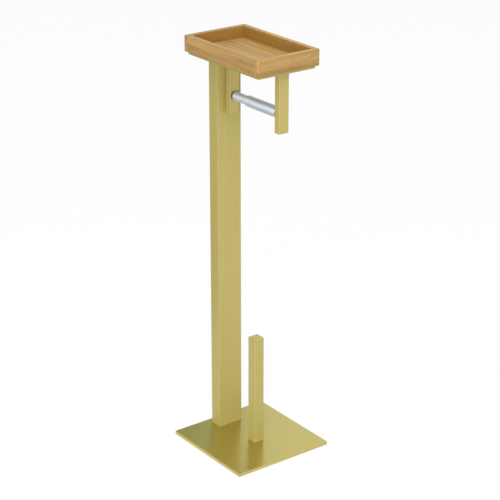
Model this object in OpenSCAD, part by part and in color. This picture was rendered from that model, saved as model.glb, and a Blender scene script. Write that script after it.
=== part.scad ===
// Free-standing toilet roll stand: a square base plate, a flat column at the back, a low post for spare
// rolls, a wooden tray on top, and a chrome spring roller between two short arms under the tray.
//
// Millimetres. +Z is up, z = 0 is the floor, and the origin is on the floor under the middle of the base.
// -Y is the front, where the free arm hangs, and +X is on the right as seen from the front.

/* [Whole stand] */
// Height of the tray's rim above the floor
total_h = 750; // [650:10:850]

/* [Base] */
// Length of each side of the square base plate
base_w = 200; // [196:1:260]
// Thickness of the base plate
base_t = 6; // [6:0.5:10]
// Radius of the base plate's corners, seen from above
base_r = 2; // [1:0.5:8]
// Diameter of a rubber foot
foot_d = 20; // [16:1:24]
// Distance from the plate's edge to the middle of a foot
foot_inset = 16; // [15:1:20]

/* [Column] */
// Width of the column tube, along X
column_w = 50; // [44:1:60]
// Depth of the column tube, along Y
column_d = 25; // [22:1:28]
// Distance from the middle of the base back to the middle of the column
column_back = 75; // [72:0.5:78]

/* [Spare roll post] */
// Side of the square post
post_w = 20; // [18:1:24]
// Height of the post above the base plate
post_h = 206; // [120:1:240]
// Distance from the middle of the base forward to the middle of the post
post_front = 15.5; // [8:0.5:24]

/* [Arms] */
// Width of an arm tube, along X
arm_w = 20; // [20:0.5:24]
// Depth of an arm tube, along Y
arm_d = 12.5; // [12:0.5:13]
// Length of an arm, from the pan's sheet to the bottom of its cap
arm_l = 107; // [100:1:118]
// Distance from the middle of the base forward to the middle of the front arm
front_arm_reach = 85; // [80:0.5:86]
// Gap between the column and the rear arm
rear_arm_gap = 4; // [3:0.5:8]

/* [Roller] */
// Distance from the pan's sheet down to the roller's axis
roller_drop = 74; // [60:1:78]
// Diameter of the thicker, outer sleeve
outer_d = 19.5; // [19.5:0.5:22]
// Diameter of the thinner, inner sleeve
inner_d = 15.8; // [15.8:0.1:16.2]
// Length of the inner sleeve that shows at rest
inner_show = 38; // [32:1:42]
// Number of curls of the roller spring
spring_curls = 24; // [16:1:28]

/* [Tray] */
// Length of the tray, along Y
tray_l = 208; // [204:2:220]
// Width of the tray, along X
tray_w = 128; // [120:2:140]
// Height of the tray's rails
tray_h = 28; // [24:1:34]
// Thickness of a rail
rail_t = 10; // [9:0.5:12]
// Thickness of the floor board
tray_floor_t = 8; // [8:0.5:12]

/* [Hidden] */
$fn = 64;

// Colours, as the stand looks
brass = [0.76, 0.69, 0.45];
chrome = [0.86, 0.88, 0.91];
oak = [0.72, 0.56, 0.36];
rubber = [0.10, 0.10, 0.10];
nylon = [0.07, 0.07, 0.08];
steel = [0.62, 0.63, 0.65];
zinc = [0.80, 0.80, 0.78];

// Small shared sizes
eps = 0.1;                       // a cut runs this far past the face that it opens
wall = 1.5;                      // wall of every tube
tube_r = 1;                      // outer corner radius of every tube
slip = 0.1;                      // a block or plug is this much smaller than its tube on each side
thread_gap = 0.05;               // radial gap between a screw and its threaded hole

// Feet stand in shallow recesses and hold the plate 1 mm off the floor
foot_t = 2;
foot_proud = 1;
foot_place = base_w / 2 - foot_inset;
base_top = foot_proud + base_t;

// Heights, from the tray's rim down
tray_bottom = total_h - tray_h;
pan_t = 2;
pan_flange_h = 5;
pan_flange_t = 1.5;
pan_inset = 5;
pan_under = tray_bottom - pan_t;
pan_l = tray_l - 2 * pan_inset;
pan_w = tray_w - 2 * pan_inset;
arm_bottom = pan_under - arm_l;
roller_z = pan_under - roller_drop;

// Places along Y
rear_arm_y = column_back - column_d / 2 - rear_arm_gap - arm_d / 2;
rear_face_y = rear_arm_y - arm_d / 2;
front_face_y = -front_arm_reach + arm_d / 2;

// Blocks that close the tubes' ends and take the screws
block_h = 18;
arm_block_h = 14;
cap_t = 2;
post_cap_t = 3;
cap_plug_h = 6;

// Screws: M6 through the base plate, M5 through the pan, 3.5 mm wood screws into the tray
base_screw_r = 3;
base_screw_l = 15;
base_head_r = 5.6;
base_head_h = 3;
pan_screw_r = 2.5;
pan_screw_l = 12;
pan_head_r = 4.4;
pan_head_h = 1.9;
wood_screw_r = 1.75;
wood_screw_l = 8;
wood_head_r = 3.8;
wood_head_h = 2.2;
column_screw_x = 14;
tray_screw_x = 44;
tray_screw_y = 80;

// Bushes and the roller's pins
pin_r = 4;
pin_fit = 0.06;
flange_r = 7.8;
flange_t = 1.2;
barrel_r = 6;
barrel_l = 7.4;
bore_l = 7;
pin_reach = 6;                   // how far a pin enters its bush
end_gap = 0.4;                   // gap between a sleeve's end and its bush

// Sleeves. The lip and the collar keep the inner sleeve from leaving the outer one
outer_r = outer_d / 2;
inner_r = inner_d / 2;
sleeve_t = 0.8;
slide_fit = 0.08;
lip_t = 1;
collar_l = 2;
inner_hidden = 24;               // length of the inner sleeve inside the outer one at rest
end_rim_t = 1.8;                 // rim of the inner sleeve's plug, which shows at the rear arm
end_plug_l = 10;
spigot_r = 4.4;
spigot_l = 4;
inner_end_y = rear_face_y - flange_t - end_gap;
outer_end_y = front_face_y + flange_t + end_gap;
mouth_y = inner_end_y - inner_show;

// Spring, from one plug's face to the other's
spring_r = 5.6;
wire_r = 0.5;
wire_sides = 6;
curl_rings = 8;
spring_front_y = outer_end_y + end_rim_t + end_plug_l;
spring_back_y = inner_end_y - end_rim_t - end_plug_l;

// Tongue of the tray's floor board, in a groove round the rails
tongue_t = 4;
tongue_l = 3;
groove_gap = 0.1;
tongue_z = tray_bottom + (tray_floor_t - tongue_t) / 2;
inside_w = tray_w - 2 * rail_t;
inside_l = tray_l - 2 * rail_t;

// Rectangle x by y about the origin, with corners of radius r
module rounded_rectangle(x, y, r) {
    square([x - 2 * r, y], center = true);
    square([x, y - 2 * r], center = true);
    for (sx = [-1, 1], sy = [-1, 1])
        translate([sx * (x / 2 - r), sy * (y / 2 - r)]) circle(r);
}

// Upright square tube, x by y and h high
module box_tube(x, y, h) {
    linear_extrude(h) difference() {
        rounded_rectangle(x, y, tube_r);
        square([x - 2 * wall, y - 2 * wall], center = true);
    }
}

// Solid block that fills a tube x by y for a height h
module tube_block(x, y, h) {
    linear_extrude(h) square([x - 2 * (wall + slip), y - 2 * (wall + slip)], center = true);
}

// Plate x by y that closes the end of a tube, with a plug that goes down into it from z = 0
module tube_cap(x, y, t) {
    linear_extrude(t) rounded_rectangle(x, y, tube_r);
    translate([0, 0, -cap_plug_h]) tube_block(x, y, cap_plug_h + eps);
}

// Countersunk screw with a hexagon socket. The head's face is at z = 0 and the screw runs up
module countersunk_screw(r, l, head_r, head_h) {
    socket_r = r * 0.66;
    difference() {
        union() {
            cylinder(h = head_h, r1 = head_r, r2 = r);
            cylinder(h = l, r = r);
        }
        translate([0, 0, -eps]) cylinder(h = head_h * 0.8 + eps, r = socket_r, $fn = 6);
    }
}

// Hole for that screw through a plate of thickness t, from its face at z = 0
module countersunk_hole(r, t, head_r, head_h) {
    shank_gap = 0.2;
    head_gap = 0.05;
    translate([0, 0, -eps]) cylinder(h = t + 2 * eps, r = r + shank_gap);
    translate([0, 0, -eps]) cylinder(h = eps, r = head_r + head_gap);
    cylinder(h = head_h, r1 = head_r + head_gap, r2 = r + head_gap);
}

// Places of the screws in the base and in the pan's sheet
module at_column_screws() {
    for (sx = [-1, 1]) translate([sx * column_screw_x, column_back, 0]) children();
}

module at_arms() {
    translate([0, rear_arm_y, 0]) children();
    translate([0, -front_arm_reach, 0]) children();
}

module at_tray_screws() {
    for (sx = [-1, 1], sy = [-1, 1]) translate([sx * tray_screw_x, sy * tray_screw_y, 0]) children();
}

// The roller's axis: +Z of the child becomes +Y of the stand, counted from y = 0
module along_roller() {
    translate([0, 0, roller_z]) rotate([-90, 0, 0]) children();
}

module base_plate() {
    color(brass) difference() {
        translate([0, 0, foot_proud]) linear_extrude(base_t) rounded_rectangle(base_w, base_w, base_r);
        for (sx = [-1, 1], sy = [-1, 1])
            translate([sx * foot_place, sy * foot_place, -eps])
                cylinder(h = foot_t + eps, d = foot_d + 2 * slip);
        at_column_screws() translate([0, 0, foot_proud])
            countersunk_hole(base_screw_r, base_t, base_head_r, base_head_h);
        translate([0, -post_front, foot_proud])
            countersunk_hole(base_screw_r, base_t, base_head_r, base_head_h);
    }
}

// Rubber foot at a corner of the base, with a rounded lower edge
module foot(sx, sy) {
    edge_r = 0.6;
    color(rubber) translate([sx * foot_place, sy * foot_place, 0]) rotate_extrude() {
        square([foot_d / 2 - edge_r, foot_t]);
        translate([0, edge_r]) square([foot_d / 2, foot_t - edge_r]);
        translate([foot_d / 2 - edge_r, edge_r]) circle(edge_r);
    }
}

module foot_front_left() { foot(-1, -1); }
module foot_front_right() { foot(1, -1); }
module foot_back_left() { foot(-1, 1); }
module foot_back_right() { foot(1, 1); }

module column_tube() {
    color(brass) translate([0, column_back, base_top])
        box_tube(column_w, column_d, pan_under - base_top);
}

// Block in the foot of the column, threaded for the two screws from under the base
module column_foot_block() {
    color(steel) difference() {
        translate([0, column_back, base_top]) tube_block(column_w, column_d, block_h);
        at_column_screws() translate([0, 0, base_top - eps])
            cylinder(h = block_h + 2 * eps, r = base_screw_r + thread_gap);
    }
}

module column_foot_screws() {
    color(zinc) at_column_screws() translate([0, 0, foot_proud])
        countersunk_screw(base_screw_r, base_screw_l, base_head_r, base_head_h);
}

// Block in the top of the column, threaded for the two screws through the pan
module column_head_block() {
    color(steel) difference() {
        translate([0, column_back, pan_under - block_h]) tube_block(column_w, column_d, block_h);
        at_column_screws() translate([0, 0, pan_under - block_h - eps])
            cylinder(h = block_h + 2 * eps, r = pan_screw_r + thread_gap);
    }
}

// Screw that goes down through the pan's sheet, its head flush with the sheet's top
module pan_screw() {
    translate([0, 0, tray_bottom]) mirror([0, 0, 1])
        countersunk_screw(pan_screw_r, pan_screw_l, pan_head_r, pan_head_h);
}

module column_head_screws() {
    color(zinc) at_column_screws() pan_screw();
}

module spare_roll_post() {
    color(brass) translate([0, -post_front, base_top]) box_tube(post_w, post_w, post_h - post_cap_t);
}

module post_end_cap() {
    color(brass) translate([0, -post_front, base_top + post_h - post_cap_t])
        tube_cap(post_w, post_w, post_cap_t);
}

module post_foot_block() {
    color(steel) translate([0, -post_front, base_top]) difference() {
        tube_block(post_w, post_w, block_h);
        translate([0, 0, -eps]) cylinder(h = block_h + 2 * eps, r = base_screw_r + thread_gap);
    }
}

module post_foot_screw() {
    color(zinc) translate([0, -post_front, foot_proud])
        countersunk_screw(base_screw_r, base_screw_l, base_head_r, base_head_h);
}

// Folded sheet under the tray: a flat top and a short flange down all four sides
module support_pan() {
    corner_r = 2;
    color(brass) difference() {
        translate([0, 0, tray_bottom - pan_flange_h])
            linear_extrude(pan_flange_h) rounded_rectangle(pan_w, pan_l, corner_r);
        translate([0, 0, tray_bottom - pan_flange_h - eps])
            linear_extrude(pan_flange_h - pan_t + eps)
                square([pan_w - 2 * pan_flange_t, pan_l - 2 * pan_flange_t], center = true);
        at_column_screws() pan_hole();
        at_arms() pan_hole();
        at_tray_screws() translate([0, 0, pan_under - eps])
            cylinder(h = pan_t + 2 * eps, r = wood_screw_r + 0.5);
    }
}

module pan_hole() {
    translate([0, 0, tray_bottom]) mirror([0, 0, 1])
        countersunk_hole(pan_screw_r, pan_t, pan_head_r, pan_head_h);
}

// Arm tube about its own axis, with the hole for its bush in the wall at +Y
module arm_tube() {
    tube_l = arm_l - cap_t;
    difference() {
        translate([0, 0, arm_bottom + cap_t]) box_tube(arm_w, arm_d, tube_l);
        along_roller() cylinder(h = arm_d, r = barrel_r + thread_gap);
    }
}

module arm_head_block() {
    translate([0, 0, pan_under - arm_block_h]) difference() {
        tube_block(arm_w, arm_d, arm_block_h);
        translate([0, 0, -eps]) cylinder(h = arm_block_h + 2 * eps, r = pan_screw_r + thread_gap);
    }
}

module arm_end_cap() {
    translate([0, 0, arm_bottom + cap_t]) mirror([0, 0, 1]) tube_cap(arm_w, arm_d, cap_t);
}

// Flanged nylon bush with a blind bore, its flange's face at y = 0 and its mouth towards +Y
module bush() {
    along_roller() difference() {
        union() {
            translate([0, 0, -flange_t]) cylinder(h = flange_t, r = flange_r);
            translate([0, 0, -flange_t - barrel_l]) cylinder(h = barrel_l + eps, r = barrel_r);
        }
        translate([0, 0, -bore_l]) cylinder(h = bore_l + eps, r = pin_r + pin_fit);
    }
}

// The rear arm's hole and bush face the front
module rear_arm() {
    color(brass) translate([0, rear_arm_y, 0]) mirror([0, 1, 0]) arm_tube();
}

module rear_arm_head_block() {
    color(steel) translate([0, rear_arm_y, 0]) arm_head_block();
}

module rear_arm_end_cap() {
    color(brass) translate([0, rear_arm_y, 0]) arm_end_cap();
}

module rear_arm_bush() {
    color(nylon) translate([0, rear_face_y - flange_t, 0]) mirror([0, 1, 0]) bush();
}

module front_arm() {
    color(brass) translate([0, -front_arm_reach, 0]) arm_tube();
}

module front_arm_head_block() {
    color(steel) translate([0, -front_arm_reach, 0]) arm_head_block();
}

module front_arm_end_cap() {
    color(brass) translate([0, -front_arm_reach, 0]) arm_end_cap();
}

module front_arm_bush() {
    color(nylon) translate([0, front_face_y + flange_t, 0]) bush();
}

module arm_head_screws() {
    color(zinc) at_arms() pan_screw();
}

// Board with a tongue all round, its underside level with the rails'
module tray_floor() {
    board_gap = 0.1;
    pilot_h = wood_screw_l - pan_t + 0.5;
    color(oak) difference() {
        union() {
            translate([0, 0, tray_bottom + tray_floor_t / 2])
                cube([inside_w - 2 * board_gap, inside_l - 2 * board_gap, tray_floor_t], center = true);
            translate([0, 0, tongue_z + tongue_t / 2])
                cube([inside_w + 2 * tongue_l, inside_l + 2 * tongue_l, tongue_t], center = true);
        }
        at_tray_screws() translate([0, 0, tray_bottom - eps])
            cylinder(h = pilot_h + eps, r = wood_screw_r + thread_gap);
    }
}

// Groove for that tongue, cut out of a rail
module tongue_groove() {
    translate([0, 0, tongue_z + tongue_t / 2])
        cube([
            inside_w + 2 * (tongue_l + groove_gap),
            inside_l + 2 * (tongue_l + groove_gap),
            tongue_t + 2 * groove_gap,
        ], center = true);
}

// Long rail, which stands between the short ones. sx is the side it is on
module side_rail(sx) {
    color(oak) difference() {
        translate([sx * (tray_w - rail_t) / 2, 0, tray_bottom + tray_h / 2])
            cube([rail_t, inside_l, tray_h], center = true);
        tongue_groove();
    }
}

// Short rail, which runs the tray's whole width and covers the long ones' ends. sy is the end it is on
module end_rail(sy) {
    color(oak) difference() {
        translate([0, sy * (tray_l - rail_t) / 2, tray_bottom + tray_h / 2])
            cube([tray_w, rail_t, tray_h], center = true);
        tongue_groove();
    }
}

module tray_left_rail() { side_rail(-1); }
module tray_right_rail() { side_rail(1); }
module tray_front_rail() { end_rail(-1); }
module tray_back_rail() { end_rail(1); }

// Pan-head wood screws, driven up through the pan's sheet into the floor board
module tray_screws() {
    slot_w = 1;
    color(zinc) at_tray_screws() difference() {
        translate([0, 0, pan_under - wood_head_h]) {
            cylinder(h = wood_head_h, r = wood_head_r);
            cylinder(h = wood_head_h + wood_screw_l, r = wood_screw_r);
        }
        for (turn = [0, 90])
            translate([0, 0, pan_under - wood_head_h]) rotate(turn)
                cube([wood_head_r * 1.2, slot_w, wood_head_h], center = true);
    }
}

// Thicker sleeve, with a lip turned in at its mouth
module roller_outer_sleeve() {
    length = mouth_y - outer_end_y;
    color(chrome) along_roller() translate([0, 0, outer_end_y]) difference() {
        cylinder(h = length, r = outer_r);
        translate([0, 0, -eps]) cylinder(h = length - lip_t + eps, r = outer_r - sleeve_t);
        cylinder(h = length + eps, r = inner_r + slide_fit);
    }
}

// Radius of the plug in a sleeve of outer radius r
function plug_r(r) = r - sleeve_t - thread_gap;

// Plug that closes a sleeve of outer radius r, and whose pin turns in the bush. Its face is at z = 0,
// the pin runs down from it, the first end_rim_t has radius rim_r, and the rest runs up into the sleeve
module roller_end(r, rim_r) {
    pin_l = end_gap + pin_reach;
    tip = 0.6;
    translate([0, 0, -pin_l + tip]) cylinder(h = pin_l - tip + eps, r = pin_r);
    translate([0, 0, -pin_l]) cylinder(h = tip, r1 = pin_r - tip, r2 = pin_r);
    cylinder(h = end_rim_t, r = rim_r);
    cylinder(h = end_rim_t + end_plug_l, r = plug_r(r));
    cylinder(h = end_rim_t + end_plug_l + spigot_l, r = spigot_r);
}

// The outer sleeve hides its plug, which is as thick all along
module roller_outer_end() {
    color(nylon) along_roller() translate([0, 0, outer_end_y]) roller_end(outer_r, plug_r(outer_r));
}

// Thinner sleeve, with a collar round its hidden end
module roller_inner_sleeve() {
    start = mouth_y - inner_hidden;
    length = inner_end_y - end_rim_t - start;
    collar_r = outer_r - sleeve_t - slide_fit;
    color(chrome) along_roller() translate([0, 0, start]) difference() {
        union() {
            cylinder(h = length, r = inner_r);
            cylinder(h = collar_l, r = collar_r);
        }
        translate([0, 0, -eps]) cylinder(h = length + 2 * eps, r = inner_r - sleeve_t);
    }
}

module roller_inner_end() {
    color(nylon) along_roller() translate([0, 0, inner_end_y]) mirror([0, 0, 1])
        roller_end(inner_r, inner_r);
}

// The spring's wire: a straight end one wire thick, the curls, and a straight end again.
// Each entry is the wire's middle, as [angle round the roller, place along the roller]
spring_steps = spring_curls * curl_rings;
curls_l = spring_back_y - spring_front_y - 4 * wire_r;
wire_path = [
    [0, spring_front_y],
    for (i = [0:spring_steps]) [
        i * 360 / curl_rings,
        spring_front_y + 2 * wire_r + curls_l * i / spring_steps
    ],
    [spring_steps * 360 / curl_rings, spring_back_y],
];

function wire_middle(i) =
    [spring_r * cos(wire_path[i][0]), spring_r * sin(wire_path[i][0]), wire_path[i][1]];

// Least gap of the wire to itself: to every point from half a curl to one and a half curls further on
spring_gap = min([
    for (i = [0:len(wire_path) - 1], k = [curl_rings / 2:curl_rings * 3 / 2])
        if (i + k < len(wire_path)) norm(wire_middle(i + k) - wire_middle(i))
]) - 2 * wire_r;
echo(spring_gap = spring_gap);

// A ring of the wire lies in the plane through the roller's axis, or flat at the two ends
function wire_ring(i) =
    let (angle = wire_path[i][0])
    let (flat = i == 0 || i == len(wire_path) - 1)
    [
        for (s = [0:wire_sides - 1])
            let (a = s * 360 / wire_sides)
            wire_middle(i) + wire_r * (
                cos(a) * [cos(angle), sin(angle), 0]
                + sin(a) * (flat ? [-sin(angle), cos(angle), 0] : [0, 0, -1])
            )
    ];

module roller_spring() {
    rings = len(wire_path);
    points = [for (i = [0:rings - 1]) each wire_ring(i)];
    last = (rings - 1) * wire_sides;
    sides = [
        for (i = [0:rings - 2], s = [0:wire_sides - 1])
            let (a = i * wire_sides + s)
            let (b = i * wire_sides + (s + 1) % wire_sides)
            each [[a, a + wire_sides, b], [b, a + wire_sides, b + wire_sides]]
    ];
    ends = [
        for (s = [1:wire_sides - 2])
            each [[0, s, s + 1], [last, last + s + 1, last + s]]
    ];
    color(steel) along_roller() polyhedron(points = points, faces = concat(sides, ends));
}

base_plate();
foot_front_left();
foot_front_right();
foot_back_left();
foot_back_right();
column_tube();
column_foot_block();
column_foot_screws();
column_head_block();
column_head_screws();
spare_roll_post();
post_end_cap();
post_foot_block();
post_foot_screw();
support_pan();
rear_arm();
rear_arm_head_block();
rear_arm_end_cap();
rear_arm_bush();
front_arm();
front_arm_head_block();
front_arm_end_cap();
front_arm_bush();
arm_head_screws();
tray_floor();
tray_left_rail();
tray_right_rail();
tray_front_rail();
tray_back_rail();
tray_screws();
roller_outer_sleeve();
roller_outer_end();
roller_inner_sleeve();
roller_inner_end();
roller_spring();
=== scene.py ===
import math

import bmesh
import bpy
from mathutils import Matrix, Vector


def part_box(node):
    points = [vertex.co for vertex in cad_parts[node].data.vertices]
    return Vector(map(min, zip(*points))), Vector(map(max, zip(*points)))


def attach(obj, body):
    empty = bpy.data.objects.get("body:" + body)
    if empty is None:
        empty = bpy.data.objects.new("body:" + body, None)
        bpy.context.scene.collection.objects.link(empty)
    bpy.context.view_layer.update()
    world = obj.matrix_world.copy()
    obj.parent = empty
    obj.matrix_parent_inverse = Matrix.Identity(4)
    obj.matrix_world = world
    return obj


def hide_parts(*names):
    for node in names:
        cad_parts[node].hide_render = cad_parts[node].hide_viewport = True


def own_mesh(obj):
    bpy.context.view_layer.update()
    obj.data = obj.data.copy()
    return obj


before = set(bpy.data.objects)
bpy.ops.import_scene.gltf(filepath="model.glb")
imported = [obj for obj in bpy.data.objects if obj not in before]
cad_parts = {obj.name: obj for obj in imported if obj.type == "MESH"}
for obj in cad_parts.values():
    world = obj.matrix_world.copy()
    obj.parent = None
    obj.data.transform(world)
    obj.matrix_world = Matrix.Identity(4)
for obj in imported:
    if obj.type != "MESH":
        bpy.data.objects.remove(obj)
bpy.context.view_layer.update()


# Camera
# The stand is seen whole, from its front left corner and from a little above, through a long lens, so
# that its uprights stay nearly parallel. The camera looks at the middle of the stand's height.

camera_azimuth = math.radians(-36.74)
camera_elevation = math.radians(22.08)
camera_distance = 2.8648
camera_target = Vector((-0.0012, 0.0009, 0.3757))
camera_lens = 117.75
camera_reach = 50
towards_camera = Vector((
    math.sin(camera_azimuth) * math.cos(camera_elevation),
    -math.cos(camera_azimuth) * math.cos(camera_elevation),
    math.sin(camera_elevation),
))
bpy.ops.object.camera_add(location=camera_target + camera_distance * towards_camera)
camera = bpy.context.object
camera.name = "camera"
camera.rotation_euler = (-towards_camera).to_track_quat("-Z", "Y").to_euler()
camera.data.lens = camera_lens
camera.data.sensor_width = 36
camera.data.clip_end = camera_reach
bpy.context.scene.camera = camera
bpy.context.scene.view_settings.view_transform = "Standard"


# Studio
# A white floor that runs out of sight, a white room and three soft lamps at a plain level. The floor and
# the room show as white paper, and the floor keeps a part of the stand's shadow. Two cards show only in
# reflections: an olive one darkens the base's left side, and a grey one the roller's underside.


class Wire:
    """A socket in a tree of shader nodes. Arithmetic on wires adds Math nodes, and node adds any other."""

    def __init__(self, tree, socket=None):
        self.tree = tree
        self.socket = socket

    def node(self, kind, settings, sockets, output=0):
        made = self.tree.nodes.new(kind)
        for name, value in settings.items():
            if name != "stops":
                setattr(made, name, value)
                continue
            while len(made.color_ramp.elements) < len(value):
                made.color_ramp.elements.new(0.5)
            for element, (place, colour) in zip(made.color_ramp.elements, value):
                element.position = place
                element.color = (*colour, 1)
        for name, value in sockets.items():
            if isinstance(value, Wire):
                self.tree.links.new(value.socket, made.inputs[name])
            else:
                made.inputs[name].default_value = value
        return Wire(self.tree, made.outputs[output] if made.outputs else None)

    def math(self, operation, first, second):
        return self.node("ShaderNodeMath", {"operation": operation}, {0: first, 1: second})

    def __add__(self, other):
        return self.math("ADD", self, other)

    def __radd__(self, other):
        return self.math("ADD", other, self)

    def __sub__(self, other):
        return self.math("SUBTRACT", self, other)

    def __rsub__(self, other):
        return self.math("SUBTRACT", other, self)

    def __mul__(self, other):
        return self.math("MULTIPLY", self, other)

    def __rmul__(self, other):
        return self.math("MULTIPLY", other, self)


floor_size = 12.0
floor_white = 0.92
floor_bounce = 0.4               # brightness of the floor for the light that it sends up
floor_shade_share = 0.07         # share of the floor's look that takes light and shadow
room_light = 0.53                # strength of the room's light on matt surfaces
paper_white = (1, 1, 1, 1)


def shows_as_paper(start):
    """1 where a ray comes from the camera, a reflection or a clear thing, and 0 where it carries light."""
    rays = "ShaderNodeLightPath"
    seen = start.node(rays, {}, {}, "Is Camera Ray") + start.node(rays, {}, {}, "Is Glossy Ray")
    return seen + start.node(rays, {}, {}, "Is Transmission Ray")


bpy.ops.object.select_all(action="DESELECT")
bpy.ops.mesh.primitive_plane_add(size=floor_size)
floor = bpy.context.object
floor.name = "studio_floor"
floor_paper = bpy.data.materials.new("studio_floor_paper")
floor_paper.use_nodes = True
floor_paper.node_tree.nodes.clear()
start = Wire(floor_paper.node_tree)
paper = shows_as_paper(start) * (1 - floor_shade_share)
brightness = floor_bounce + shows_as_paper(start) * (floor_white - floor_bounce)
matt = start.node("ShaderNodeBsdfDiffuse", {}, {"Color": brightness})
glow = start.node("ShaderNodeEmission", {}, {"Color": paper_white, "Strength": 1.0})
look = start.node("ShaderNodeMixShader", {}, {0: paper, 1: matt, 2: glow})
start.node("ShaderNodeOutputMaterial", {}, {"Surface": look})
floor.data.materials.append(floor_paper)

room = bpy.data.worlds.new("studio_room")
room.use_nodes = True
room.node_tree.nodes.clear()
start = Wire(room.node_tree)
strength = room_light + shows_as_paper(start) * (1 - room_light)
glow = start.node("ShaderNodeBackground", {}, {"Color": paper_white, "Strength": strength})
start.node("ShaderNodeOutputWorld", {}, {"Surface": glow})
bpy.context.scene.world = room

for lamp_name, place, size, power in (
    ("key_lamp", (-2.2, -2.26, 0.75), 1.4, 77),
    ("high_lamp", (-0.9, -1.2, 3.0), 2.0, 60),
    ("top_lamp", (0.0, 0.0, 3.2), 2.4, 20),
):
    bpy.ops.object.light_add(type="AREA", location=place)
    lamp = bpy.context.object
    lamp.name = lamp_name
    lamp.rotation_euler = (Vector(place) - camera_target).to_track_quat("Z", "Y").to_euler()
    lamp.data.size = size
    lamp.data.energy = power
    lamp.visible_glossy = False
    lamp.visible_camera = False

for card_name, place, size, colour, is_upright in (
    ("olive_card", (0.52, 1.34, 0.6), 0.7, (0.17, 0.25, 0.13, 1), True),
    ("grey_card", (-0.4, 1.6, 0.002), 2.2, (0.17, 0.18, 0.2, 1), False),
):
    bpy.ops.object.select_all(action="DESELECT")
    bpy.ops.mesh.primitive_plane_add(size=size, location=place)
    card = bpy.context.object
    card.name = card_name
    if is_upright:
        card.rotation_euler = (Vector(place) - camera_target).to_track_quat("Z", "Y").to_euler()
    card_paper = bpy.data.materials.new(card_name + "_paper")
    card_paper.use_nodes = True
    card_paper.node_tree.nodes.clear()
    start = Wire(card_paper.node_tree)
    glow = start.node("ShaderNodeEmission", {}, {"Color": colour, "Strength": 1.0})
    start.node("ShaderNodeOutputMaterial", {}, {"Surface": glow})
    card.data.materials.append(card_paper)
    card.visible_camera = card.visible_diffuse = card.visible_transmission = card.visible_shadow = False


# Base plate
# A square of 6 mm steel plate, brushed and coated the colour of brass. Its edges are eased, and its
# underside has four shallow rounds for the feet and three countersunk holes for the uprights' screws.


def take(piece):
    """Makes the piece the only one that operators act on."""
    if bpy.context.mode != "OBJECT":
        bpy.ops.object.mode_set(mode="OBJECT")
    bpy.ops.object.select_all(action="DESELECT")
    piece.select_set(True)
    bpy.context.view_layer.objects.active = piece
    return piece


def settle(piece):
    """Puts the piece's place and turn into its mesh."""
    take(piece)
    bpy.ops.object.transform_apply(location=True, rotation=True, scale=True)
    return piece


def block(name, low, high):
    """A box between two corners, to be shaped further."""
    bpy.ops.object.select_all(action="DESELECT")
    bpy.ops.mesh.primitive_cube_add(size=1, location=(low + high) / 2, scale=high - low)
    bpy.context.object.name = name
    return settle(bpy.context.object)


round_sides = 96


def rod(name, place, radius, length, axis="Z", sides=round_sides):
    """A round bar about a place, along Z or Y, to be shaped further or cut out of a piece."""
    bpy.ops.object.select_all(action="DESELECT")
    turn = (math.pi / 2, 0, 0) if axis == "Y" else (0, 0, 0)
    bpy.ops.mesh.primitive_cylinder_add(
        vertices=sides, radius=radius, depth=length, location=place, rotation=turn,
    )
    bpy.context.object.name = name
    return settle(bpy.context.object)


def choose(piece, kind, test):
    """Selects in edit mode the verts, edges or faces that pass the test, and nothing else."""
    if piece.mode != "EDIT":
        take(piece)
        bpy.ops.object.mode_set(mode="EDIT")
    bpy.ops.mesh.select_mode(type={"verts": "VERT", "edges": "EDGE", "faces": "FACE"}[kind])
    bpy.ops.mesh.select_all(action="DESELECT")
    mesh = bmesh.from_edit_mesh(piece.data)
    for part in getattr(mesh, kind):
        part.select_set(test(part))
    mesh.select_flush_mode()
    bmesh.update_edit_mesh(piece.data)


along_z = 0.99                   # least Z of a direction that counts as upright


def upright(edge):
    first, second = (v.co for v in edge.verts)
    return abs((second - first).normalized().z) > along_z


def faces_down(face):
    return face.normal.z < -along_z


def apply_modifier(piece, kind, **settings):
    """Adds a modifier with these settings and applies it."""
    take(piece)
    modifier = piece.modifiers.new(kind.lower(), kind)
    for name, value in settings.items():
        setattr(modifier, name, value)
    bpy.ops.object.modifier_apply(modifier=modifier.name)


def ease_edges(piece, width, segments=2, angle=40):
    """Rounds every edge sharper than the angle."""
    apply_modifier(
        piece, "BEVEL", width=width, segments=segments, limit_method="ANGLE",
        angle_limit=math.radians(angle), use_clamp_overlap=True,
    )


def cut_out(piece, cutter):
    """Takes the cutter's shape out of the piece."""
    apply_modifier(piece, "BOOLEAN", operation="DIFFERENCE", solver="EXACT", object=cutter)
    bpy.data.objects.remove(cutter)


def shade(piece, angle=50):
    """Shades the piece smooth up to the angle, with flat faces kept flat between their rounded edges."""
    take(piece)
    bpy.ops.object.shade_smooth_by_angle(angle=math.radians(angle))
    apply_modifier(piece, "WEIGHTED_NORMAL", weight=100, keep_sharp=True)


def dress(piece, body, material, slot, *nodes):
    """Gives the piece its material, lets it ride on its body, and hides the CAD nodes that it stands for.
    """
    piece.data.materials.clear()
    piece.data.materials.append(material)
    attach(piece, body)
    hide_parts(*nodes)


def paint(red, green, blue):
    """A colour in the 0 to 255 values of a paint chart, as the linear values that a shader takes."""
    return tuple(((c / 255 + 0.055) / 1.055) ** 2.4 for c in (red, green, blue))


def new_finish(name, **constants):
    """A material with these constant settings, and a wire of its place on the stand, in metres."""
    material = bpy.data.materials.new(name)
    material.use_nodes = True
    shader = material.node_tree.nodes["Principled BSDF"]
    for setting, value in constants.items():
        shader.inputs[setting.replace("_", " ")].default_value = value
    return material, Wire(material.node_tree).node("ShaderNodeTexCoord", {}, {}, "Object")


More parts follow.
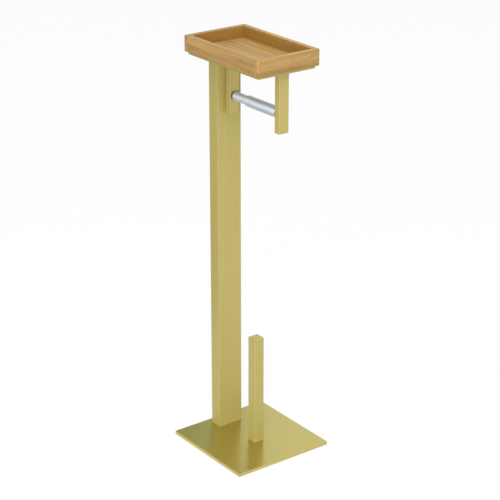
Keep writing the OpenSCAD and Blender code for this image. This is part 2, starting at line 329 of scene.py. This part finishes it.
def feed(material, **wires):
    """Links wires to the shader's sockets, such as Base_Color. Height goes through a Bump, Depth m deep."""
    height = wires.pop("Height")
    depth = wires.pop("Depth")
    wires["Normal"] = height.node("ShaderNodeBump", {}, {"Height": height, "Distance": depth})
    shader = material.node_tree.nodes["Principled BSDF"]
    for setting, wire in wires.items():
        material.node_tree.links.new(wire.socket, shader.inputs[setting.replace("_", " ")])


def grain_noise(place, across, along, axis, detail=3.0, shift=0.0):
    """Noise drawn out along one axis, with this many features a metre across and along it."""
    features = [across] * 3
    features["XYZ".index(axis)] = along
    moved = place.node("ShaderNodeVectorMath", {"operation": "ADD"}, {0: place, 1: (shift, shift, shift)})
    drawn = place.node("ShaderNodeVectorMath", {"operation": "MULTIPLY"}, {0: moved, 1: features})
    return place.node("ShaderNodeTexNoise", {}, {"Vector": drawn, "Scale": 1.0, "Detail": detail})


def blend_colours(share, first, second):
    """A colour between two others: the first where share is 0 and the second where it is 1."""
    pair = {6: (*first, 1) if isinstance(first, tuple) else first, 7: (*second, 1)}
    return share.node("ShaderNodeMix", {"data_type": "RGBA"}, {0: share, **pair}, 2)


brass_low = paint(165, 152, 83)
brass_high = paint(188, 174, 104)
base_brass_low = paint(195, 182, 108)
base_brass_high = paint(205, 192, 118)


def brushed_brass(name, axis, low, high, metal, roughness):
    """Brass-coloured steel brushed along one axis: fine hairlines, and faint wider bands of tone."""
    material, place = new_finish(name, Metallic=metal)
    hairlines = grain_noise(place, 3000, 10, axis)
    bands = grain_noise(place, 240, 0.8, axis)
    tone = hairlines * 0.5 + bands * 0.5
    feed(
        material,
        Base_Color=blend_colours(tone, low, high),
        Roughness=roughness + 0.1 * (tone - 0.5),
        Height=hairlines,
        Depth=0.00001,
    )
    return material


brass_along_x = brushed_brass(
    "brass_brushed_along_x", "X", base_brass_low, base_brass_high, metal=0.97, roughness=0.29,
)

base_low, base_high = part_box("base_plate")
base_corner = 0.002
base_edge = 0.0008
foot_recess = 0.001
foot_recess_r = 0.0101
foot_inset = 0.016
screw_head_r = 0.00565
screw_hole_r = 0.0032
countersink = 0.003
column_low, column_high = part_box("column_tube")
post_low, post_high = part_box("spare_roll_post")
column_y = (column_low.y + column_high.y) / 2
post_y = (post_low.y + post_high.y) / 2
column_screw_x = 0.014
base_screws = ((-column_screw_x, column_y), (column_screw_x, column_y), (0.0, post_y))

base = block("brass_base", base_low, base_high)
choose(base, "edges", upright)
bpy.ops.mesh.bevel(offset=base_corner, segments=6)
ease_edges(base, base_edge, segments=3)
foot_places = [
    Vector((side_x * (base_high.x - foot_inset), side_y * (base_high.y - foot_inset), 0))
    for side_x in (-1, 1) for side_y in (-1, 1)
]
for place in foot_places:
    cut_out(base, rod("foot_cutter", place + Vector((0, 0, base_low.z)), foot_recess_r, 2 * foot_recess))
for x, y in base_screws:
    cut_out(base, rod("hole_cutter", (x, y, base_low.z), screw_hole_r, 4 * (base_high.z - base_low.z)))
    bpy.ops.mesh.primitive_cone_add(
        vertices=round_sides, radius1=2 * screw_head_r - screw_hole_r, radius2=screw_hole_r,
        depth=2 * countersink, location=(x, y, base_low.z),
    )
    cut_out(base, bpy.context.object)
shade(base)
dress(base, "stand", brass_along_x, "brushed_brass", "base_plate")


# Feet
# Four black rubber pads pressed into the rounds under the plate, which they hold 1 mm off the floor.
# Each has a rounded lower edge and a dished sole with a ring standing in it, which grips the tiles.

foot_edge = 0.0006
foot_rim = 0.0022
foot_dish = 0.0005
foot_black = paint(34, 34, 35)
foot_grey = paint(48, 48, 48)


def grained_finish(name, dark, light, across, along, axis, roughness, roughness_gain, depth, metal=0.0):
    """A finish with one grain, which runs from dark to light and makes the light parts rougher."""
    material, place = new_finish(name, Metallic=metal)
    grain = grain_noise(place, across, along, axis)
    feed(
        material,
        Base_Color=blend_colours(grain, dark, light),
        Roughness=roughness + roughness_gain * grain,
        Height=grain,
        Depth=depth,
    )
    return material


foot_rubber = grained_finish(
    "rubber_black_matt", foot_black, foot_grey, across=900, along=900, axis="Z",
    roughness=0.62, roughness_gain=0.2, depth=0.00006,
)


def copy_to(piece, name, shift):
    """A copy of the piece with a mesh of its own, moved by shift."""
    take(piece)
    bpy.ops.object.duplicate()
    bpy.ops.transform.translate(value=shift)
    bpy.context.object.name = name
    return settle(bpy.context.object)


foot_low, foot_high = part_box("foot_front_left")
foot_middle = (foot_low + foot_high) / 2
foot = rod("rubber_foot_front_left", foot_middle, (foot_high.x - foot_low.x) / 2, foot_high.z - foot_low.z)
ease_edges(foot, foot_edge, segments=4)
choose(foot, "faces", faces_down)
for width, rise in (
    (foot_rim, 0), (foot_dish, -foot_dish), (foot_rim, 0),
    (foot_dish, foot_dish), (foot_dish, 0), (foot_dish, -foot_dish),
):
    bpy.ops.mesh.inset(thickness=width, depth=rise)
feet = {"foot_front_left": foot}
for node in ("foot_front_right", "foot_back_left", "foot_back_right"):
    feet[node] = copy_to(foot, "rubber_" + node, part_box(node)[0] - foot_low)
for node, foot in feet.items():
    shade(foot, angle=40)
    dress(foot, "stand", foot_rubber, "foot_rubber", node)


# Column
# A flat 50 x 25 mm steel tube with tight round corners, sawn square at both ends, brushed up and down
# and coated like the base. It stands on the base and carries the tray's pan.

tube_wall = 0.0015
tube_corner = 0.001
corner_segments = 8
sawn_edge = 0.0002

brass_along_z = brushed_brass(
    "brass_brushed_along_z", "Z", brass_low, brass_high, metal=0.18, roughness=0.45,
)


def square_tube(name, node):
    """An upright tube with round corners that fills the node's box."""
    low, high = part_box(node)
    tube = block(name, low, high)
    choose(tube, "edges", upright)
    bpy.ops.mesh.bevel(offset=tube_corner, segments=corner_segments)
    take(tube)
    wall = Vector((tube_wall, tube_wall, -tube_wall))
    cut_out(tube, block("bore_cutter", low + wall, high - wall))
    ease_edges(tube, sawn_edge)
    return tube


column = square_tube("brass_column", "column_tube")
shade(column)
dress(column, "stand", brass_along_z, "brushed_brass", "column_tube")


# Spare roll post
# A 20 mm square tube of the same steel, closed by a 3 mm cap whose plug is pressed into it. A fine
# seam shows between the two.

plug_slip = 0.0001
plug_height = 0.006
cap_edge = 0.0004
hair = 0.00001                   # places no further apart than this are the same


def tube_cap(name, node, plug_side):
    """A plate that closes a tube's end, and a plug from it into the tube. plug_side is 1 up or -1 down."""
    low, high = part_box(node)
    plate_low, plate_high = low.copy(), high.copy()
    if plug_side > 0:
        plate_high.z -= plug_height
    else:
        plate_low.z += plug_height
    cap = block(name, plate_low, plate_high)
    choose(cap, "faces", lambda face: face.normal.z * plug_side > along_z)
    bpy.ops.mesh.inset(thickness=tube_wall + plug_slip, use_even_offset=True)
    bpy.ops.mesh.extrude_region_move(TRANSFORM_OT_translate={"value": (0, 0, plug_side * plug_height)})
    choose(cap, "edges", lambda edge: upright(edge) and abs(edge.verts[0].co.x) > high.x - hair)
    bpy.ops.mesh.bevel(offset=tube_corner, segments=corner_segments)
    ease_edges(cap, cap_edge)
    return cap


post = square_tube("brass_post", "spare_roll_post")
shade(post)
dress(post, "stand", brass_along_z, "brushed_brass", "spare_roll_post")

post_cap = tube_cap("brass_post_cap", "post_end_cap", -1)
shade(post_cap)
dress(post_cap, "stand", brass_along_x, "brushed_brass", "post_end_cap")


# Support pan
# A sheet of 2 mm steel under the tray, folded down to a short flange all round and set in from the
# tray's sides. The column and the arms hang from it, and four screws go up through it into the wood.

pan_sheet = 0.002
pan_flange = 0.0015
pan_corner = 0.002
pan_edge = 0.0004
pan_screw_hole_r = 0.0027
tray_screw_hole_r = 0.00225
tray_screw_x = 0.044
tray_screw_y = 0.08

pan_low, pan_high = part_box("support_pan")
pan_under = pan_high.z - pan_sheet
rear_arm_low, rear_arm_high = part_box("rear_arm")
front_arm_low, front_arm_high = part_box("front_arm")
rear_arm_y = (rear_arm_low.y + rear_arm_high.y) / 2
front_arm_y = (front_arm_low.y + front_arm_high.y) / 2

pan = block("brass_pan", pan_low, pan_high)
choose(pan, "edges", upright)
bpy.ops.mesh.bevel(offset=pan_corner, segments=6)
choose(pan, "faces", faces_down)
bpy.ops.mesh.inset(thickness=pan_flange, use_even_offset=True)
bpy.ops.mesh.extrude_region_move(TRANSFORM_OT_translate={"value": (0, 0, pan_under - pan_low.z)})
ease_edges(pan, pan_edge)
pan_holes = [
    (-column_screw_x, column_y, pan_screw_hole_r), (column_screw_x, column_y, pan_screw_hole_r),
    (0, rear_arm_y, pan_screw_hole_r), (0, front_arm_y, pan_screw_hole_r),
]
for side_y in (-1, 1):
    for side_x in (-1, 1):
        pan_holes.append((side_x * tray_screw_x, side_y * tray_screw_y, tray_screw_hole_r))
for x, y, radius in pan_holes:
    cut_out(pan, rod("hole_cutter", (x, y, pan_high.z), radius, 4 * pan_sheet, sides=round_sides // 2))
shade(pan)
pan_brass = brushed_brass("brass_of_pan", "X", brass_low, brass_high, metal=0.4, roughness=0.5)
dress(pan, "stand", pan_brass, "brushed_brass", "support_pan")


# Arms
# Two flat tubes that hang from the pan, one close in front of the column and one free at the front. A
# thin cap closes each at the bottom, and each has a round hole towards the other for its bush.

bush_hole_r = 0.00605
roller_z = (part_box("roller_outer_sleeve")[0].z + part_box("roller_outer_sleeve")[1].z) / 2

for side, tube_node, cap_node in (
    (-1, "rear_arm", "rear_arm_end_cap"),
    (1, "front_arm", "front_arm_end_cap"),
):
    arm = square_tube("brass_" + tube_node, tube_node)
    low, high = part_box(tube_node)
    wall_y = high.y if side > 0 else low.y
    cut_out(arm, rod("bush_cutter", (0, wall_y, roller_z), bush_hole_r, 4 * tube_wall, "Y"))
    shade(arm)
    dress(arm, "stand", brass_along_z, "brushed_brass", tube_node)
    arm_cap = tube_cap("brass_" + cap_node, cap_node, 1)
    shade(arm_cap)
    dress(arm_cap, "stand", brass_along_z, "brushed_brass", cap_node)


# Bushes
# Two black nylon bushes with a flange, pushed into the arms' holes. Each has a blind bore, in which one
# of the roller's pins turns.

bush_flange_r = 0.0078
bush_flange_t = 0.0012
bush_barrel_r = 0.006
bush_bore_r = 0.00406
bush_bore_l = 0.007
moulded_edge = 0.00025
nylon_black = paint(22, 22, 24)
nylon_grey = paint(38, 38, 40)

nylon = grained_finish(
    "nylon_black_moulded", nylon_black, nylon_grey, across=1500, along=1500, axis="Z",
    roughness=0.38, roughness_gain=0.18, depth=0.00002,
)


def turned(name, rings):
    """A round piece on the roller's axis, drawn out from ring to ring. Each ring is a place along Y and
    a radius. A piece whose last ring meets its first is a tube, and any other is closed at both ends."""
    start, start_r = rings[0]
    is_tube = rings[-1] == rings[0]
    bpy.ops.object.select_all(action="DESELECT")
    bpy.ops.mesh.primitive_circle_add(
        vertices=round_sides, radius=start_r, fill_type="NOTHING" if is_tube else "NGON",
        location=(0, start, roller_z), rotation=(math.pi / 2, 0, 0),
    )
    piece = bpy.context.object
    piece.name = name
    settle(piece)
    choose(piece, "verts", lambda vert: True)
    for (y, radius), (next_y, next_radius) in zip(rings, rings[1:]):
        bpy.ops.mesh.extrude_region_move(TRANSFORM_OT_translate={"value": (0, next_y - y, 0)})
        share = next_radius / radius
        bpy.ops.transform.resize(value=(share, 1, share), center_override=(0, next_y, roller_z))
    bpy.ops.mesh.select_all(action="SELECT")
    bpy.ops.mesh.remove_doubles(threshold=1e-6)
    bpy.ops.mesh.normals_make_consistent(inside=False)
    return take(piece)


for node, arm_side in (("rear_arm_bush", -1), ("front_arm_bush", 1)):
    low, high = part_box(node)
    mouth = high.y if arm_side > 0 else low.y
    closed = low.y if arm_side > 0 else high.y
    bush = turned("nylon_" + node, [
        (closed, bush_barrel_r),
        (mouth - arm_side * bush_flange_t, bush_barrel_r),
        (mouth - arm_side * bush_flange_t, bush_flange_r),
        (mouth, bush_flange_r),
        (mouth, bush_bore_r),
        (mouth - arm_side * bush_bore_l, bush_bore_r),
    ])
    ease_edges(bush, moulded_edge)
    shade(bush)
    dress(bush, "stand", nylon, "black_nylon", node)


# Roller
# A thicker and a thinner chromed tube that slide into each other, each closed by a black nylon plug
# whose pin turns in a bush. The thicker one's mouth is turned in, and a collar inside stops the other.

sleeve_wall = 0.0008
sleeve_lip_r = 0.00798
sleeve_lip_t = 0.001
collar_r = 0.00887
collar_l = 0.002
rolled_edge = 0.0003
end_rim_t = 0.0018
end_plug_l = 0.01
end_plug_gap = 0.00005
spigot_r = 0.0044
spigot_l = 0.004
pin_r = 0.004
pin_l = 0.0064
pin_tip = 0.0006
chrome_light = paint(228, 234, 245)
chrome_dark = paint(200, 209, 226)

chrome = grained_finish(
    "chrome_polished", chrome_dark, chrome_light, across=700, along=25, axis="Y",
    roughness=0.27, roughness_gain=0.08, depth=0.000004, metal=0.5,
)

outer_low, outer_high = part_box("roller_outer_sleeve")
inner_low, inner_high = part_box("roller_inner_sleeve")
outer_r = (outer_high.x - outer_low.x) / 2
inner_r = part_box("roller_inner_end")[1].x

outer_sleeve = turned("chrome_outer_sleeve", [
    (outer_low.y, outer_r),
    (outer_high.y, outer_r),
    (outer_high.y, sleeve_lip_r),
    (outer_high.y - sleeve_lip_t, sleeve_lip_r),
    (outer_high.y - sleeve_lip_t, outer_r - sleeve_wall),
    (outer_low.y, outer_r - sleeve_wall),
    (outer_low.y, outer_r),
])
ease_edges(outer_sleeve, rolled_edge)
shade(outer_sleeve)
dress(outer_sleeve, "roller_outer", chrome, "chrome_tube", "roller_outer_sleeve")

inner_sleeve = turned("chrome_inner_sleeve", [
    (inner_high.y, inner_r),
    (inner_low.y + collar_l, inner_r),
    (inner_low.y + collar_l, collar_r),
    (inner_low.y, collar_r),
    (inner_low.y, inner_r - sleeve_wall),
    (inner_high.y, inner_r - sleeve_wall),
    (inner_high.y, inner_r),
])
ease_edges(inner_sleeve, rolled_edge)
shade(inner_sleeve)
dress(inner_sleeve, "roller_inner", chrome, "chrome_tube", "roller_inner_sleeve")

for node, body, inward, radius, has_rim in (
    ("roller_outer_end", "roller_outer", 1, outer_r, False),
    ("roller_inner_end", "roller_inner", -1, inner_r, True),
):
    low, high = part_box(node)
    tip = low.y if inward > 0 else high.y
    face = tip + inward * pin_l
    plug_end = face + inward * (end_rim_t + end_plug_l)
    plug_r = radius - sleeve_wall - end_plug_gap
    rim = [(face, radius), (face + inward * end_rim_t, radius)] if has_rim else [(face, plug_r)]
    end = turned("nylon_" + node, [
        (tip, pin_r - pin_tip),
        (tip + inward * pin_tip, pin_r),
        (face, pin_r),
        *rim,
        (face + inward * end_rim_t, plug_r),
        (plug_end, plug_r),
        (plug_end, spigot_r),
        (plug_end + inward * spigot_l, spigot_r),
    ])
    ease_edges(end, moulded_edge)
    shade(end)
    dress(end, body, nylon, "black_nylon", node)


# Roller spring
# A long compression spring of 1 mm bright wire, 24 curls, between the two plugs inside the sleeves. The
# real spring shortens as the thinner sleeve is pushed in; this one keeps its length and rides with the
# thicker sleeve.

wire_r = 0.0005
coil_r = 0.0056
curls = 24
steps_a_curl = 32
wire_light = paint(176, 177, 180)
wire_dark = paint(150, 151, 155)

spring_wire = grained_finish(
    "steel_bright_wire", wire_dark, wire_light, across=4000, along=200, axis="Y",
    roughness=0.25, roughness_gain=0.15, depth=0.000002, metal=1.0,
)

spring_low, spring_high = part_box("roller_spring")
spring_length = spring_high.y - spring_low.y
first_y = spring_low.y + wire_r
bpy.ops.object.select_all(action="DESELECT")
bpy.ops.mesh.primitive_circle_add(
    vertices=10, radius=wire_r, fill_type="NOTHING", location=(coil_r, first_y, 0),
)
spring = bpy.context.object
spring.name = "steel_roller_spring"
settle(spring)
apply_modifier(
    spring, "SCREW", axis="Y", angle=math.tau, screw_offset=(spring_length - 2 * wire_r) / curls,
    iterations=curls, steps=steps_a_curl, render_steps=steps_a_curl, use_merge_vertices=False,
)
choose(spring, "edges", lambda edge: edge.is_boundary)
bpy.ops.mesh.edge_face_add()
bpy.ops.mesh.select_all(action="SELECT")
bpy.ops.mesh.normals_make_consistent(inside=False)
take(spring)
bpy.ops.transform.translate(value=(0, 0, roller_z))
settle(spring)
shade(spring)
dress(spring, "roller_outer", spring_wire, "spring_steel", "roller_spring")
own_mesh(spring)


# Tray
# Four oak rails, 10 mm thick, glued round a floor board of oak strips whose tongue lies in their grooves.
# The short rails cover the long ones' ends, so that no end grain shows at the front. Oiled and matt; the
# inner faces of the right and back rails carry a painted shade.

tongue_t = 0.004
tongue_l = 0.003
groove_gap = 0.0001
board_gap = 0.0001
rail_edge = 0.0005
tray_corner = 0.0025
board_edge = 0.0003
longest_seam = 0.05
sharp_angle = math.radians(40)
ring_width = 0.0032
ring_sway = 0.024                # how far the rings wander from true circles
ring_depth = 0.576               # how dark the rings are drawn
streak_contrast = 2.4
pore_least = 0.6                 # the noise is a pore from here on
pore_full = 0.68
ring_profile = ((0.0, 1.0), (0.22, 0.55), (0.75, 0.0), (0.97, 0.2), (1.0, 1.0))
strip_w = 0.0272
strip_shift = (0.013, 0.371, 0.029)
oak_dark = paint(132, 97, 48)
oak_mid = paint(139, 106, 56)
oak_yellow = paint(178, 150, 80)
oak_rose = paint(186, 146, 100)
# a darker warm oak, painted on the rails' inner faces as the shade inside the tray
oak_painted_shade = paint(157, 112, 28)
oak_pore = paint(116, 82, 37)


def oak(name, axis, heart, shift, painted_inner_shade=None, is_glued=False):
    """Oak whose grain runs along one axis. heart is the middle of its growth rings, and shift moves the
    pattern along. The argument after shift names an axis across the grain and two places on it for a
    painted shade on a rail's inner face, which stands for the shade inside the tray: where it fades out and
    where it is full. A glued board is made up of strips, each its own."""
    material, place = new_finish(name)
    if is_glued:
        across = place.node("ShaderNodeSeparateXYZ", {}, {0: place}, "X")
        strips_passed = across * (1 / strip_w) + 0.5
        strip = strips_passed.math("FLOOR", strips_passed, 0.0)
        steps = {letter: strip * step for letter, step in zip("XYZ", strip_shift)}
        own = place.node("ShaderNodeCombineXYZ", {}, steps)
        place = place.node("ShaderNodeVectorMath", {"operation": "ADD"}, {0: place, 1: own})
    sway = grain_noise(place, 30, 3.5, axis, shift=shift)
    from_heart = place.node("ShaderNodeVectorMath", {"operation": "SUBTRACT"}, {0: place, 1: heart})
    flat = [1.0, 1.0, 1.0]
    flat["XYZ".index(axis)] = 0.0
    flattened = place.node("ShaderNodeVectorMath", {"operation": "MULTIPLY"}, {0: from_heart, 1: flat})
    radius = place.node("ShaderNodeVectorMath", {"operation": "LENGTH"}, {0: flattened}, "Value")
    rings = (radius + sway * ring_sway) * (1 / ring_width)
    season = rings.math("FRACT", rings, 0.0)
    early = season.node(
        "ShaderNodeValToRGB",
        {"stops": [(stop, (value, value, value)) for stop, value in ring_profile]},
        {"Fac": season},
    )
    fibre = grain_noise(place, 1300, 22, axis, shift=shift)
    tone = grain_noise(place, 120, 5, axis, shift=shift + 3)
    blush = grain_noise(place, 140, 6, axis, detail=2.0, shift=shift + 11)
    pores = grain_noise(place, 2600, 55, axis, detail=1.0, shift=shift + 7)
    pore = place.node(
        "ShaderNodeMapRange", {}, {"Value": pores, "From Min": pore_least, "From Max": pore_full},
    )
    wood = blend_colours(blush * streak_contrast - 0.7, oak_yellow, oak_rose)
    wood = blend_colours(1.95 - tone * streak_contrast - fibre * 0.6, wood, oak_mid)
    wood = blend_colours(early * tone * ring_depth + fibre * 0.25 - 0.1, wood, oak_dark)
    # painted shade: the rail's inner face and the wood just behind it turn to a darker warm oak, standing
    # for the shade inside the tray
    if painted_inner_shade:
        across = place.node("ShaderNodeSeparateXYZ", {}, {0: place}, painted_inner_shade[0])
        share = across.node(
            "ShaderNodeMapRange", {}, {"Value": across, "From Min": painted_inner_shade[1], "From Max": painted_inner_shade[2]},
        )
        wood = blend_colours(share * (tone * 2.0 - 0.4), wood, oak_painted_shade)
    wood = blend_colours(pore * (early * 0.6 + 0.2), wood, oak_pore)
    feed(
        material,
        Base_Color=wood,
        Roughness=0.46 + 0.16 * fibre,
        Height=fibre * 0.5 - pore * early,
        Depth=0.00005,
    )
    return material


front_low, front_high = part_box("tray_front_rail")
board_low, board_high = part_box("tray_floor")
groove_z = (board_high.z + board_low.z) / 2
groove_reach = Vector((board_high.x + groove_gap, board_high.y + groove_gap, tongue_t / 2 + groove_gap))


def outer_corner(edge):
    return upright(edge) and abs(abs(edge.verts[0].co.y) + front_low.y) < hair


def free_edge(edge):
    """A sharp edge that isn't part of a glued seam between two rails, where the faces run on flush."""
    on_seam = all(abs(abs(v.co.y) + front_high.y) < hair for v in edge.verts)
    in_seam = on_seam and edge.calc_length() < longest_seam
    return edge.calc_face_angle(0) > sharp_angle and not in_seam


# the right and back rails, whose inner faces show, get a painted shade there: its axis, where it fades out
# and where it is full
for node, heart, shift, painted_inner_shade in (
    ("tray_left_rail", (-0.105, 0, 0.7), 0.0, None),
    ("tray_right_rail", (0.052, 0, 0.655), 1.7, ("X", 0.0549, 0.0542)),
    ("tray_front_rail", (0, -0.15, 0.765), 4.1, None),
    ("tray_back_rail", (0, 0.125, 0.69), 6.3, ("Y", 0.0949, 0.0942)),
):
    rail = block("oak_" + node, *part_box(node))
    is_short = node in ("tray_front_rail", "tray_back_rail")
    if is_short:
        choose(rail, "edges", outer_corner)
        bpy.ops.mesh.bevel(offset=tray_corner, segments=4)
    choose(rail, "edges", free_edge)
    bpy.ops.mesh.bevel(offset=rail_edge, segments=3)
    take(rail)
    middle = Vector((0, 0, groove_z))
    cut_out(rail, block("groove_cutter", middle - groove_reach, middle + groove_reach))
    shade(rail)
    axis = "X" if is_short else "Y"
    dress(rail, "stand", oak("oak_of_" + node, axis, heart, shift, painted_inner_shade), "oak", node)


def tongue_side(face):
    is_upright = abs(face.normal.z) < 1 - along_z
    return is_upright and abs(face.calc_center_median().z - groove_z) < tongue_t / 2


board_step = tongue_l + board_gap
inset_low = board_low + Vector((board_step, board_step, 0))
inset_high = board_high - Vector((board_step, board_step, 0))
board = block("oak_tray_floor", inset_low, inset_high)
for z in (groove_z - tongue_t / 2, groove_z + tongue_t / 2):
    choose(board, "faces", lambda face: True)
    bpy.ops.mesh.bisect(plane_co=(0, 0, z), plane_no=(0, 0, 1))
choose(board, "faces", tongue_side)
bpy.ops.mesh.extrude_region_shrink_fatten(
    TRANSFORM_OT_shrink_fatten={"value": board_step, "use_even_offset": True},
)
ease_edges(board, board_edge)
shade(board)
board_oak = oak("oak_glued_strips", "Y", (0.004, 0, 0.69), 9.2, is_glued=True)
dress(board, "stand", board_oak, "oak", "tray_floor")


# Blocks and screws
# Steel blocks close the ends of the tubes and hold the screws' threads. Countersunk screws come up
# through the base and down through the pan, and four wood screws hold the tray from below.

steel_light = paint(186, 187, 190)
steel_dark = paint(158, 159, 163)
zinc_light = paint(214, 214, 208)
zinc_dark = paint(184, 186, 184)

machined_steel = grained_finish(
    "steel_machined", steel_dark, steel_light, across=1500, along=60, axis="X",
    roughness=0.32, roughness_gain=0.2, depth=0.00001, metal=1.0,
)
zinc_plating = grained_finish(
    "zinc_plated", zinc_dark, zinc_light, across=600, along=600, axis="X",
    roughness=0.28, roughness_gain=0.2, depth=0.00001, metal=1.0,
)

blocks = (
    "column_foot_block", "column_head_block", "post_foot_block",
    "rear_arm_head_block", "front_arm_head_block",
)
screws = (
    "column_foot_screws", "column_head_screws", "post_foot_screw",
    "arm_head_screws", "tray_screws",
)
for nodes, finish in ((blocks, machined_steel), (screws, zinc_plating)):
    for node in nodes:
        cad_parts[node].material_slots[0].material = finish
